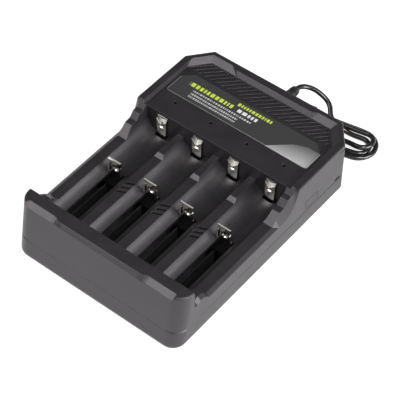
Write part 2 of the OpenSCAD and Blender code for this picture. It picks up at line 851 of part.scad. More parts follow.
// A strip under the board for each spring: it holds the spring's fixed end and carries its current
module spring_anchors() {
    hw = anchor_w / 2;
    low = spring_z - spring_d / 2 - run_gap;
    color(nickel)
    for (b = bays) translate([b * bay_pitch, anchor_y, 0]) {
        box([-hw, 0, low], [hw, sheet_t, board_under]);
        box([-hw, 0, board_under - sheet_t], [hw, anchor_foot, board_under]);
    }
}

module case_screws() {
    color(steel)
    for (s = screw_spots) translate([s[0], s[1], seat_z]) difference() {
        union() {
            translate([0, 0, -head_screw_h]) cylinder(h = head_screw_h, r = head_screw_r, $fn = 40);
            translate([0, 0, -eps]) cylinder(h = screw_l + eps, r = screw_r, $fn = 32);
        }
        for (a = [0, 90]) rotate([0, 0, a])
            box([-1.5, -0.3, -head_screw_h - 1], [1.5, 0.3, -head_screw_h + 1]);
    }
}

// Cord

// Ribbed sleeve that tapers along the cord, with a neck in the back wall and a flange behind it
module strain_relief() {
    base = neck_r + 1;
    tip = neck_r - 0.3;
    rings = 5;
    step = relief_l / (rings + 1);
    color(cord_black)
    translate([0, 0, cord_z]) rotate([-90, 0, 0]) rotate_extrude($fn = 48)
        polygon(concat(
            [[0, back_y - wall - 1.8], [base, back_y - wall - 1.8], [base, back_y - wall - 0.1]],
            [
                [neck_r, back_y - wall - 0.1], [neck_r, back_y + 0.1],
                [base, back_y + 0.1], [base, back_y + step - 1]
            ],
            [
                for (k = [1:rings])
                    let (y = back_y + k * step, r = base + (tip - base) * k / (rings + 1))
                        each [[r - 0.4, y - 0.8], [r - 0.4, y], [r, y + 0.2], [r, y + step - 1]]
            ],
            [[tip, back_y + relief_l], [0, back_y + relief_l]]
        ));
}

// A round tube along a route of points, with one ring of sides at each point
module tube(route, d) {
    n = len(route);
    sides = 8;
    dirs = [
        for (i = [0:n - 1])
            let (v = route[min(i + 1, n - 1)] - route[max(i - 1, 0)])
                v / norm(v)
    ];
    skin([
        for (i = [0:n - 1])
            let (
                flat = cross(dirs[i], [0, 0, 1]),
                u = flat / norm(flat),
                v = cross(u, dirs[i])
            )
                [
                    for (k = [0:sides - 1])
                        let (a = 360 * (k + 0.5) / sides)
                            route[i] + (u * cos(a) + v * sin(a)) * d / 2
                ]
    ]);
}

module cord_lead() {
    color(cord_black) tube(lead_route, cord_d);
}

module cord_tail() {
    color(cord_black) tube(tail_route, cord_d);
}

// A long loop with round ends, drawn in by a distance
module loop_outline(inset) {
    r = hank_w / 2 - inset;
    for (s = [-1, 1]) translate([s * (hank_l / 2 - hank_w / 2), 0]) circle(r = r, $fn = 48);
    square([hank_l - hank_w, 2 * r], center = true);
}

module cord_hank() {
    color(cord_black)
    translate([hank_x, hank_y, 0]) rotate([0, 0, hank_turn]) difference() {
        linear_extrude(hank_h) difference() {
            loop_outline(0);
            loop_outline(hank_band);
        }
        // Room for the tie below the turns
        box([tie_x - tie_w / 2, -hank_w, -1], [tie_x + tie_w / 2, hank_w, tie_t]);
    }
}

module cord_tie() {
    hw = hank_w / 2;
    color(tie_black)
    translate([hank_x, hank_y, 0]) rotate([0, 0, hank_turn]) translate([tie_x, 0, 0]) difference() {
        box([-tie_w / 2, -hw - tie_t, 0], [tie_w / 2, hw + tie_t, hank_h + tie_t]);
        box([-tie_w, -hw, tie_t], [tie_w, hw, hank_h]);
    }
}

// Plug: a moulded grip, a folded metal shell and the tongue inside it

module usb_plug_grip() {
    r = 2;
    color(cord_black)
    translate([plug_x - plug_l, plug_y, 0]) difference() {
        hull() for (s = [-1, 1]) {
            for (x = [r, plug_l - 5])
                translate([x, s * (plug_w / 2 - r), 0]) cylinder(h = plug_h, r = r, $fn = 24);
            translate([plug_l - r, s * (plug_w / 2 - 5), 0.6]) cylinder(h = plug_h - 1.2, r = r, $fn = 24);
        }
        box([-1, -shell_w / 2, plug_h / 2 - shell_h / 2], [shell_in, shell_w / 2, plug_h / 2 + shell_h / 2]);
        for (k = [0:3]) for (s = [-1, 1])
            translate([9 + 3 * k, s * plug_w / 2, -1]) box([-0.5, -0.5, 0], [0.5, 0.5, far]);
    }
}

module usb_plug_shell() {
    tip = plug_x - plug_l + shell_in - shell_l;
    color(nickel)
    translate([0, plug_y, plug_h / 2]) difference() {
        box([tip, -shell_w / 2, -shell_h / 2], [tip + shell_l, shell_w / 2, shell_h / 2]);
        box(
            [tip - 1, -shell_w / 2 + shell_t, -shell_h / 2 + shell_t],
            [tip + shell_l - 1, shell_w / 2 - shell_t, shell_h / 2 - shell_t]
        );
        for (s = [-1, 1]) box([tip + 5.2, s * 2.9 - 1.2, -shell_h], [tip + 7.5, s * 2.9 + 1.2, shell_h]);
    }
}

module usb_plug_tongue() {
    tip = plug_x - plug_l + shell_in - shell_l;
    hw = shell_w / 2 - shell_t;
    low = -shell_h / 2 + shell_t;
    color(tongue_white)
    translate([0, plug_y, plug_h / 2]) box([tip + 0.6, -hw, low], [tip + shell_l - 1, hw, low + 1.8]);
}

bottom_shell();
top_shell();
label_film();
circuit_board();
charge_chips();
filter_capacitor();
board_screws();
supply_leads();
for (i = [0:3]) {
    indicator_led(i);
    fixed_contact(i);
    slider_plate(i);
    slider_carriage(i);
    slider_spring(i);
}
spring_anchors();
case_screws();
strain_relief();
cord_lead();
cord_hank();
cord_tail();
cord_tie();
usb_plug_grip();
usb_plug_shell();
usb_plug_tongue();
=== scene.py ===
"""Looks of the four-bay cell charger: its materials, bent contacts and springs, its cord and plug, the studio."""

import math

import bpy
import numpy as np
from bpy.props import FloatProperty, FloatVectorProperty, IntProperty, PointerProperty
from mathutils import Matrix, Vector


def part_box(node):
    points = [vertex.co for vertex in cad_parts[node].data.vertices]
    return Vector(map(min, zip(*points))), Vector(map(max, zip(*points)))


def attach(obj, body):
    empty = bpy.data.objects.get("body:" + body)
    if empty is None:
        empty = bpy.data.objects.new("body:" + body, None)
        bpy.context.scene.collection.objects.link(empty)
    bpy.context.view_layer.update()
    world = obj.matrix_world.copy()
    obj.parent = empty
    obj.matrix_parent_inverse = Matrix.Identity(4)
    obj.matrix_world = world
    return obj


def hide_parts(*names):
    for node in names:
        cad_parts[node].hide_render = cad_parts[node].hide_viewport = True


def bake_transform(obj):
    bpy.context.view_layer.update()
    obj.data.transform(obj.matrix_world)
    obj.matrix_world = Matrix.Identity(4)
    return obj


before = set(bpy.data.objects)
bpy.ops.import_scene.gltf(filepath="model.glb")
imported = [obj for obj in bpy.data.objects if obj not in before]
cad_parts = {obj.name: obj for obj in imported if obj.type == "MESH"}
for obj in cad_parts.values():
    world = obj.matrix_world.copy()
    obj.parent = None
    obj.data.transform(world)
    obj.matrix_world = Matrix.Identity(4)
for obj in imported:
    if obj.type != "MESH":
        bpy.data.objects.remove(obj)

bl_info = {
    "name": "Cell charger",
    "version": (1, 0, 0),
    "blender": (4, 5, 0),
    "location": "View3D > Sidebar > Charger",
    "description": "Dresses a four-bay cell charger and lays its cord",
    "category": "Object",
}

MM = 0.001
BAYS = (1, 2, 3, 4)


# Meshes


def mesh_piece(name, points, faces, material, sharp=math.radians(40)):
    """A mesh object from points in metres and faces, smooth except along edges sharper than the angle."""
    mesh = bpy.data.meshes.new(name)
    mesh.from_pydata([tuple(p) for p in points], [], [tuple(f) for f in faces])
    mesh.polygons.foreach_set("use_smooth", [True] * len(mesh.polygons))
    mesh.set_sharp_from_angle(angle=sharp)
    mesh.materials.append(material)
    piece = bpy.data.objects.new(name, mesh)
    bpy.context.scene.collection.objects.link(piece)
    return piece


def spline(points, per_span=12):
    """Points on a centripetal Catmull-Rom curve: it passes every given point, and its knots are spaced by the
    square root of the distance, so that it doesn't overshoot where the points are close."""
    p = np.asarray(points, float)
    p = np.vstack([2 * p[0] - p[1], p, 2 * p[-1] - p[-2]])
    out = []
    for a, b, c, d in zip(p, p[1:], p[2:], p[3:]):
        t1 = np.linalg.norm(b - a) ** 0.5
        t2 = t1 + np.linalg.norm(c - b) ** 0.5
        t3 = t2 + np.linalg.norm(d - c) ** 0.5
        t = np.linspace(t1, t2, per_span, endpoint=False)[:, None]
        ab = (t1 - t) / t1 * a + t / t1 * b
        bc = (t2 - t) / (t2 - t1) * b + (t - t1) / (t2 - t1) * c
        cd = (t3 - t) / (t3 - t2) * c + (t - t2) / (t3 - t2) * d
        ac = (t2 - t) / t2 * ab + t / t2 * bc
        bd = (t3 - t) / (t3 - t1) * bc + (t - t1) / (t3 - t1) * cd
        out.append((t2 - t) / (t2 - t1) * ac + (t - t1) / (t2 - t1) * bd)
    return np.vstack(out + [p[-2][None]])


def even_steps(line, step):
    """The same line with its points a step apart."""
    along = np.r_[0, np.cumsum(np.linalg.norm(np.diff(line, axis=0), axis=1))]
    count = int(round(along[-1] / step))
    t = np.linspace(0, along[-1], count + 1)
    return np.stack([np.interp(t, along, line[:, k]) for k in range(3)], axis=1)


def eased(line, rounds):
    """The line after rounds of averaging each point with its neighbours, its two ends kept."""
    for _ in range(rounds):
        middle = (line[:-2] + 2 * line[1:-1] + line[2:]) / 4
        line = np.vstack([line[:1], middle, line[-1:]])
    return line


def line_frames(line):
    """Two unit vectors across a line at each point. The first is carried along without twist: at each point the
    part of it that lies along the line is taken away."""
    tangent = np.gradient(line, axis=0)
    tangent /= np.linalg.norm(tangent, axis=1)[:, None]
    across = np.zeros_like(line)
    start = np.cross(tangent[0], [0, 0, 1])
    if np.linalg.norm(start) < 0.1:
        start = np.cross(tangent[0], [0, 1, 0])
    across[0] = start / np.linalg.norm(start)
    for k in range(1, len(line)):
        v = across[k - 1] - tangent[k] * np.dot(across[k - 1], tangent[k])
        across[k] = v / np.linalg.norm(v)
    return across, np.cross(tangent, across)


def tube_grid(line, radius, sides):
    """Rings of points round a line, at a radius that may change along it."""
    across, up = line_frames(line)
    angle = np.linspace(0, 2 * math.pi, sides, endpoint=False)
    r = np.broadcast_to(np.asarray(radius, float), (len(line),))[:, None, None]
    ring = np.cos(angle)[None, :, None] * across[:, None] + np.sin(angle)[None, :, None] * up[:, None]
    return line[:, None] + ring * r


def ring_faces(rings, sides, closed=False):
    """Quads between neighbouring rings, and a flat cap at each end unless the rings close on themselves."""
    faces = []
    for i in range(rings if closed else rings - 1):
        a, b = i * sides, (i + 1) % rings * sides
        faces += [(a + j, a + (j + 1) % sides, b + (j + 1) % sides, b + j) for j in range(sides)]
    if not closed:
        faces.append(tuple(range(sides - 1, -1, -1)))
        faces.append(tuple((rings - 1) * sides + j for j in range(sides)))
    return faces


def tube_piece(name, line, radius, material, sides=12):
    """A round tube along a line."""
    grid = tube_grid(line, radius, sides)
    return mesh_piece(name, grid.reshape(-1, 3), ring_faces(len(line), sides), material)


def sheet_piece(name, grid, thick, keep, material):
    """Bent sheet metal: a grid of points on its middle surface, made thick by moving both faces half the thickness
    along the surface's normal. Only the kept cells have metal, and walls stand where a kept cell ends."""
    rows, cols = grid.shape[:2]
    du = np.gradient(grid, axis=1)
    dv = np.gradient(grid, axis=0)
    normal = np.cross(du, dv)
    normal /= np.linalg.norm(normal, axis=2)[:, :, None] + 1e-12
    half = normal * thick / 2
    points = np.concatenate([(grid + half).reshape(-1, 3), (grid - half).reshape(-1, 3)])
    under = rows * cols
    faces = []

    def kept(r, c):
        return 0 <= r < rows - 1 and 0 <= c < cols - 1 and keep[r, c]

    for r in range(rows - 1):
        for c in range(cols - 1):
            if not keep[r, c]:
                continue
            a, b, d, e = r * cols + c, r * cols + c + 1, (r + 1) * cols + c + 1, (r + 1) * cols + c
            faces.append((a, b, d, e))
            faces.append((a + under, e + under, d + under, b + under))
            for (dr, dc), (p, q) in {(-1, 0): (b, a), (0, 1): (d, b), (1, 0): (e, d), (0, -1): (a, e)}.items():
                if not kept(r + dr, c + dc):
                    faces.append((p, q, q + under, p + under))
    used = sorted({i for f in faces for i in f})
    place = {i: k for k, i in enumerate(used)}
    return mesh_piece(name, points[used], [[place[i] for i in f] for f in faces], material, math.radians(50))


# Node trees


class Tree:
    """Adds nodes to a tree. An input may be given as a value or as the socket that feeds it."""

    def __init__(self, tree):
        self.tree = tree

    def add(self, kind, inputs=None, **settings):
        node = self.tree.nodes.new(kind)
        for name, value in settings.items():
            setattr(node, name, value)
        for name, value in (inputs or {}).items():
            if isinstance(value, bpy.types.NodeSocket):
                self.tree.links.new(value, node.inputs[name])
            else:
                node.inputs[name].default_value = value
        node.location = (200 * len(self.tree.nodes), 0)
        return node

    def math(self, operation, a, b=0.0, clamp=False):
        return self.add("ShaderNodeMath", {0: a, 1: b}, operation=operation, use_clamp=clamp).outputs[0]

    def range(self, value, low, high, to_low=0.0, to_high=1.0):
        inputs = {"Value": value, "From Min": low, "From Max": high, "To Min": to_low, "To Max": to_high}
        return self.add("ShaderNodeMapRange", inputs, clamp=True).outputs["Result"]

    def mix(self, factor, a, b):
        node = self.add("ShaderNodeMix", data_type="RGBA")
        for key, value in ((0, factor), (6, a), (7, b)):
            if isinstance(value, bpy.types.NodeSocket):
                self.tree.links.new(value, node.inputs[key])
            else:
                node.inputs[key].default_value = value
        return node.outputs[2]

    def noise(self, vector, scale, detail=2.0):
        noise = self.add("ShaderNodeTexNoise", {"Vector": vector, "Scale": scale, "Detail": detail})
        return noise.outputs["Fac"]

    def stretched(self, vector, scale):
        inputs = {"Vector": vector, "Scale": scale}
        return self.add("ShaderNodeMapping", inputs).outputs["Vector"]

    def place(self):
        return self.add("ShaderNodeTexCoord").outputs["Object"]


def grey(value, violet=0.0):
    """A grey as RGBA, with a little violet in it."""
    return (value * (1 + violet), value * (1 - violet), value * (1 + violet), 1.0)


def node_group(name, inputs, outputs):
    """A new shader node group with these sockets, as a Tree with its input and output nodes."""
    group = bpy.data.node_groups.new(name, "ShaderNodeTree")
    for socket, kind, value in inputs:
        made = group.interface.new_socket(socket, in_out="INPUT", socket_type=kind)
        if value is not None:
            made.default_value = value
    for socket, kind in outputs:
        group.interface.new_socket(socket, in_out="OUTPUT", socket_type=kind)
    tree = Tree(group)
    return tree, tree.add("NodeGroupInput"), tree.add("NodeGroupOutput")


def use_group(tree, name, inputs):
    """A node in the tree that runs a node group."""
    return tree.add("ShaderNodeGroup", inputs, node_tree=bpy.data.node_groups[name])


def group_mould_grain():
    """Spark-eroded mould texture: a fine grain as a height, and slow patches of tone from 0 to 1."""
    tree, take, give = node_group(
        "mould grain",
        [("Place", "NodeSocketVector", None), ("Grain size", "NodeSocketFloat", 0.0003)],
        [("Height", "NodeSocketFloat"), ("Tone", "NodeSocketFloat")],
    )
    scale = tree.math("DIVIDE", 1.0, take.outputs["Grain size"])
    fine = tree.noise(take.outputs["Place"], scale, 3.0)
    slow = tree.noise(take.outputs["Place"], 90.0, 4.0)
    tree.tree.links.new(fine, give.inputs["Height"])
    tree.tree.links.new(tree.range(slow, 0.3, 0.7), give.inputs["Tone"])


def group_draw_marks():
    """Faint streaks along Y, as cells leave when they slide in and out of the troughs."""
    tree, take, give = node_group(
        "draw marks",
        [("Place", "NodeSocketVector", None), ("Top", "NodeSocketFloat", 0.02)],
        [("Mask", "NodeSocketFloat")],
    )
    long = tree.stretched(take.outputs["Place"], (900.0, 22.0, 900.0))
    streaks = tree.range(tree.noise(long, 1.0, 3.0), 0.45, 0.72)
    parts = tree.add("ShaderNodeSeparateXYZ", {0: take.outputs["Place"]})
    inside = tree.math("LESS_THAN", parts.outputs["Z"], take.outputs["Top"])
    tree.tree.links.new(tree.math("MULTIPLY", streaks, inside), give.inputs["Mask"])


def group_print_bar():
    """A printed bar: 1 inside a rectangle given in millimetres, with a soft edge."""
    tree, take, give = node_group(
        "print bar",
        [("Place", "NodeSocketVector", None)]
        + [(n, "NodeSocketFloat", 0.0) for n in ("Low X", "High X", "Low Y", "High Y")]
        + [("Edge", "NodeSocketFloat", 0.15)],
        [("Mask", "NodeSocketFloat")],
    )
    parts = tree.add("ShaderNodeSeparateXYZ", {0: take.outputs["Place"]})
    inner = [
        tree.math("SUBTRACT", parts.outputs["X"], take.outputs["Low X"]),
        tree.math("SUBTRACT", take.outputs["High X"], parts.outputs["X"]),
        tree.math("SUBTRACT", parts.outputs["Y"], take.outputs["Low Y"]),
        tree.math("SUBTRACT", take.outputs["High Y"], parts.outputs["Y"]),
    ]
    least = inner[0]
    for other in inner[1:]:
        least = tree.math("MINIMUM", least, other)
    mask = tree.math("DIVIDE", least, take.outputs["Edge"], clamp=True)
    tree.tree.links.new(mask, give.inputs["Mask"])


def group_print_row():
    """A row of print: a bar broken into blocks of word length by narrow gaps, and never a letter."""
    tree, take, give = node_group(
        "print row",
        [("Place", "NodeSocketVector", None)]
        + [(n, "NodeSocketFloat", 0.0) for n in ("Low X", "High X", "Low Y", "High Y")]
        + [("Block", "NodeSocketFloat", 4.0), ("Gap", "NodeSocketFloat", 0.16)],
        [("Mask", "NodeSocketFloat")],
    )
    names = ("Place", "Low X", "High X", "Low Y", "High Y")
    bar = use_group(tree, "print bar", {n: take.outputs[n] for n in names})
    parts = tree.add("ShaderNodeSeparateXYZ", {0: take.outputs["Place"]})
    along = tree.math("DIVIDE", parts.outputs["X"], take.outputs["Block"])
    seed = tree.math("ADD", along, take.outputs["Low Y"])
    cells = tree.add("ShaderNodeTexVoronoi", {"W": seed, "Scale": 1.0}, voronoi_dimensions="1D",
                     feature="DISTANCE_TO_EDGE")
    solid = tree.math("GREATER_THAN", cells.outputs["Distance"], take.outputs["Gap"])
    tree.tree.links.new(tree.math("MULTIPLY", bar.outputs["Mask"], solid), give.inputs["Mask"])


def group_slant_edge():
    """1 on the inner side of a slanted line through a point, in millimetres, with a soft edge."""
    tree, take, give = node_group(
        "slant edge",
        [("Place", "NodeSocketVector", None), ("Point", "NodeSocketVector", None),
         ("Inward", "NodeSocketVector", None), ("Edge", "NodeSocketFloat", 0.3)],
        [("Mask", "NodeSocketFloat")],
    )
    away = tree.add("ShaderNodeVectorMath", {0: take.outputs["Place"], 1: take.outputs["Point"]},
                    operation="SUBTRACT")
    depth = tree.add("ShaderNodeVectorMath", {0: away.outputs[0], 1: take.outputs["Inward"]},
                     operation="DOT_PRODUCT")
    mask = tree.math("DIVIDE", depth.outputs["Value"], take.outputs["Edge"], clamp=True)
    tree.tree.links.new(mask, give.inputs["Mask"])


def group_rolled_sheet():
    """Rolling marks of sheet metal: fine streaks across the strip, from 0 to 1."""
    tree, take, give = node_group(
        "rolled sheet", [("Place", "NodeSocketVector", None)], [("Streak", "NodeSocketFloat")]
    )
    long = tree.stretched(take.outputs["Place"], (9000.0, 9000.0, 250.0))
    tree.tree.links.new(tree.noise(long, 1.0, 3.0), give.inputs["Streak"])


GROUPS = (
    group_mould_grain, group_draw_marks, group_print_bar, group_print_row, group_slant_edge, group_rolled_sheet,
)


# Materials


def new_material(name):
    """A material with a Tree and its Principled shader."""
    material = bpy.data.materials.new(name)
    material.use_nodes = True
    tree = Tree(material.node_tree)
    shader = next(n for n in material.node_tree.nodes if n.type == "BSDF_PRINCIPLED")
    return material, tree, shader


def bump(tree, height, strength, depth, normal=None):
    """The normal of a surface whose height varies by depth metres."""
    inputs = {"Height": height, "Strength": strength, "Distance": depth}
    if normal is not None:
        inputs["Normal"] = normal
    return tree.add("ShaderNodeBump", inputs).outputs["Normal"]


def moulded_abs(name, look, tone, marks=True, gloss=None):
    """Black moulded plastic: eroded grain, slow patches, streaks in the troughs, painted shade in the grooves and
    softly rounded edges. With marks off, it has neither the streaks nor the painted groove shade.
    """
    material, tree, shader = new_material(name)
    place = tree.place()
    grain = use_group(tree, "mould grain", {"Place": place, "Grain size": look.grain_size})
    base = tree.mix(grain.outputs["Tone"], grey(tone * 0.9, 0.04), grey(tone * 1.1, 0.04))
    rough = tree.range(grain.outputs["Tone"], 0.0, 1.0, look.roughness - 0.03, look.roughness + 0.03)
    if marks:
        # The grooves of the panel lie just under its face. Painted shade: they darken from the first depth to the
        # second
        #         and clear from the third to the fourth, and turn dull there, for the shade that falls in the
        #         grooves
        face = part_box("label_film")[0].z
        start, dark, until, end = 0.0001, 0.0004, 0.0012, 0.0014
        split = tree.add("ShaderNodeSeparateXYZ", {0: place})
        under = tree.range(split.outputs["Z"], face - dark, face - start, 1.0, 0.0)
        above = tree.range(split.outputs["Z"], face - end, face - until, 0.0, 1.0)
        behind = tree.range(split.outputs["Y"], look.groove_start, look.groove_start + 0.0002, 0.0, 1.0)
        groove_shade = tree.math("MULTIPLY", tree.math("MULTIPLY", under, above), behind)
        base = tree.mix(groove_shade, base, grey(tone * 0.12))
        rough = tree.mix(groove_shade, rough, grey(0.9))
        streaks = use_group(tree, "draw marks", {"Place": place, "Top": look.trough_top})
        base = tree.mix(tree.math("MULTIPLY", streaks.outputs["Mask"], 0.5), base, grey(tone * 1.7))
    rounded = tree.add("ShaderNodeBevel", {"Radius": look.edge_radius}, samples=4).outputs["Normal"]
    normal = bump(tree, grain.outputs["Height"], 0.35, look.grain_depth, rounded)
    tree.tree.links.new(base, shader.inputs["Base Color"])
    tree.tree.links.new(rough, shader.inputs["Roughness"])
    tree.tree.links.new(normal, shader.inputs["Normal"])
    shader.inputs["Specular IOR Level"].default_value = look.gloss if gloss is None else gloss
    shader.inputs["Specular Tint"].default_value = (1.0, 0.94, 1.0, 1.0)
    return material


def label_print_and_painted_light(look):
    """The label's film: satin black with rows of printed blocks, a pale line inside its edge that is a painted
    highlight, and a field that fades to white that is a painted reflection.
    """
    material, tree, shader = new_material("label print and painted light")
    scaled = tree.add("ShaderNodeVectorMath", {0: tree.place(), 1: (1000.0,) * 3}, operation="MULTIPLY")
    place = scaled.outputs[0]
    low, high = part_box("label_film")
    left, front, right, back = (v / MM for v in (low.x, low.y, high.x, high.y))
    colour = grey(look.film_tone)
    parts = tree.add("ShaderNodeSeparateXYZ", {0: place})
    # The fading field at the right is a painted reflection of a light on the glossy film: edges as points and
    # inward directions
    field = None
    slants = (((18.2, 34.9), (0.66, -0.75)), ((27.9, 43.4), (0.38, -0.92)), ((41.0, 45.9), (0.0, -1.0)))
    for point, inward in slants:
        edge = use_group(tree, "slant edge", {"Place": place, "Point": (*point, 0), "Inward": (*inward, 0)})
        mask = edge.outputs["Mask"]
        field = mask if field is None else tree.math("MULTIPLY", field, mask)
    slope = tree.math("SUBTRACT", parts.outputs["Y"], tree.math("MULTIPLY", parts.outputs["X"], 0.22))
    reflection_fade = tree.range(slope, front - 7.0, 38.0, 1.0, 0.0)
    shade = tree.mix(reflection_fade, grey(look.reflection_dark), grey(look.reflection_light))
    colour = tree.mix(field, colour, shade)
    # Rows: colour, low and high X, low and high Y, block length, gap
    lime = (*look.lime, 1.0)
    rows = (
        (lime, -34.6, -8.9, 43.3, 45.9, 2.35, 0.16),
        (lime, -8.0, 11.8, 46.8, 48.8, 1.75, 0.18),
        (grey(0.40), -6.2, 5.6, 43.3, 45.5, 2.36, 0.16),
        (grey(0.30), -30.4, 4.3, 40.8, 42.0, 1.3, 0.22),
        (grey(0.30), -30.4, -2.3, 38.6, 39.9, 1.1, 0.22),
        (grey(0.30), -30.4, -2.5, 36.7, 37.9, 1.1, 0.22),
    )
    for ink, x0, x1, y0, y1, block, gap in rows:
        inputs = {"Place": place, "Low X": x0, "High X": x1, "Low Y": y0, "High Y": y1,
                  "Block": block, "Gap": gap}
        row = use_group(tree, "print row", inputs)
        colour = tree.mix(row.outputs["Mask"], colour, ink)
    # A painted highlight along the edge of the label's recess: a pale line inside the film's edge, which stays
    # open at the back
    width, past = 0.35, 5
    outer = use_group(tree, "print bar", {"Place": place, "Low X": left, "High X": right,
                                          "Low Y": front, "High Y": back, "Edge": 0.05})
    inner = use_group(tree, "print bar", {"Place": place, "Low X": left + width, "High X": right - width,
                                          "Low Y": front + width, "High Y": back + past, "Edge": 0.05})
    line = tree.math("SUBTRACT", outer.outputs["Mask"], inner.outputs["Mask"], clamp=True)
    colour = tree.mix(tree.math("MULTIPLY", line, look.edge_highlight), colour, grey(0.4))
    grain = use_group(tree, "mould grain", {"Place": tree.place(), "Grain size": 0.0005})
    rough = tree.range(grain.outputs["Height"], 0.3, 0.7, 0.36, 0.44)
    tree.tree.links.new(colour, shader.inputs["Base Color"])
    tree.tree.links.new(rough, shader.inputs["Roughness"])
    tree.tree.links.new(bump(tree, grain.outputs["Height"], 0.2, 0.00002), shader.inputs["Normal"])
    shader.inputs["Specular IOR Level"].default_value = 0.35
    return material


def sheet_metal(name, colour, roughness, streak=0.06):
    """Plated or bare sheet metal with rolling marks in its colour and roughness."""
    material, tree, shader = new_material(name)
    place = tree.place()
    rolled = use_group(tree, "rolled sheet", {"Place": place})
    dark = tuple(c * 0.93 for c in colour) + (1.0,)
    base = tree.mix(rolled.outputs["Streak"], dark, (*colour, 1.0))
    rough = tree.range(rolled.outputs["Streak"], 0.3, 0.7, roughness - streak / 2, roughness + streak / 2)
    tree.tree.links.new(base, shader.inputs["Base Color"])
    tree.tree.links.new(rough, shader.inputs["Roughness"])
    tree.tree.links.new(bump(tree, rolled.outputs["Streak"], 0.05, 0.000002), shader.inputs["Normal"])
    shader.inputs["Metallic"].default_value = 1.0
    return material


def soft_pvc(name, tone, roughness):
    """Supple black PVC: a smooth skin with slow unevenness and faint dust-like specks in its gloss."""
    material, tree, shader = new_material(name)
    place = tree.place()
    slow = tree.noise(place, 260.0, 3.0)
    base = tree.mix(slow, grey(tone * 0.8), grey(tone * 1.25))
    rough = tree.range(tree.noise(place, 1500.0, 2.0), 0.3, 0.7, roughness - 0.05, roughness + 0.08)
    tree.tree.links.new(base, shader.inputs["Base Color"])
    tree.tree.links.new(rough, shader.inputs["Roughness"])
    tree.tree.links.new(bump(tree, slow, 0.25, 0.00004), shader.inputs["Normal"])
    return material


def speckled(name, colour, roughness, scale=900.0, spread=0.2):
    """A plain inner part whose colour and gloss vary a little with a fine noise."""
    material, tree, shader = new_material(name)
    mottle = tree.noise(tree.place(), scale, 3.0)
    low = tuple(c * (1 - spread) for c in colour) + (1.0,)
    high = tuple(min(1.0, c * (1 + spread)) for c in colour) + (1.0,)
    tree.tree.links.new(tree.mix(mottle, low, high), shader.inputs["Base Color"])
    rough = tree.range(mottle, 0.3, 0.7, roughness - 0.05, roughness + 0.05)
    tree.tree.links.new(rough, shader.inputs["Roughness"])
    tree.tree.links.new(bump(tree, mottle, 0.1, 0.00002), shader.inputs["Normal"])
    return material


def lamp_lens():
    """Clear epoxy of an unlit indicator lamp."""
    material = speckled("lamp lens", (0.55, 0.57, 0.55), 0.12, 400.0, 0.05)
    shader = next(n for n in material.node_tree.nodes if n.type == "BSDF_PRINCIPLED")
    shader.inputs["Transmission Weight"].default_value = 0.6
    return material


def floor_white():
    """The studio floor: matte near-white with a glow, so that it stays white in shot and keeps a faint shadow."""
    stage = bpy.context.scene.charger_stage
    material, tree, shader = new_material("floor white")
    drift = tree.noise(tree.place(), 2.0, 1.0)
    tree.tree.links.new(tree.mix(drift, grey(0.34), grey(0.36)), shader.inputs["Base Color"])
    shader.inputs["Roughness"].default_value = 0.9
    shader.inputs["Specular IOR Level"].default_value = 0.0
    shader.inputs["Emission Color"].default_value = (1, 1, 1, 1)
    shader.inputs["Emission Strength"].default_value = stage.floor_glow
    return material


def repaint(names, material):
    """Gives CAD nodes a material in each of their slots."""
    for name in names:
        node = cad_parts[name]
        if not node.material_slots:
            node.data.materials.append(material)
        for slot in node.material_slots:
            slot.material = material


# Settings


class ChargerShellLook(bpy.types.PropertyGroup):
    tone: FloatProperty(name="Tone", description="Base grey of the shells", default=0.010)
    groove_start: FloatProperty(name="Groove start", description="Place along the case where the grooves start",
                                default=0.0522, unit="LENGTH")
    roughness: FloatProperty(name="Roughness", description="Roughness of the moulded surface", default=0.40)
    gloss: FloatProperty(name="Gloss", description="Specular level of the moulded surface", default=0.55)
    grain_size: FloatProperty(name="Grain size", description="Size of the eroded grain",
                              default=0.0004, unit="LENGTH")
    grain_depth: FloatProperty(name="Grain depth", description="Depth of the eroded grain", default=0.00004,
                               unit="LENGTH")
    edge_radius: FloatProperty(name="Edge radius", description="Rounding that the edges seem to have",
                               default=0.0004, unit="LENGTH")
    trough_top: FloatProperty(name="Trough top", description="Height under which cells leave streaks",
                              default=0.0195, unit="LENGTH")


class ChargerLabelLook(bpy.types.PropertyGroup):
    film_tone: FloatProperty(name="Film tone", description="Base grey of the label's film", default=0.024)
    edge_highlight: FloatProperty(name="Edge highlight", description="How strongly the border line shows", default=0.22)
    reflection_dark: FloatProperty(name="Reflection back", description="Grey of the fading field at its back",
                              default=0.06)
    reflection_light: FloatProperty(name="Reflection front", description="Grey of the fading field at its front",
                               default=0.24)
    lime: FloatVectorProperty(name="Lime ink", description="Colour of the two lime rows",
                              size=3, subtype="COLOR", default=(0.30, 0.37, 0.045))


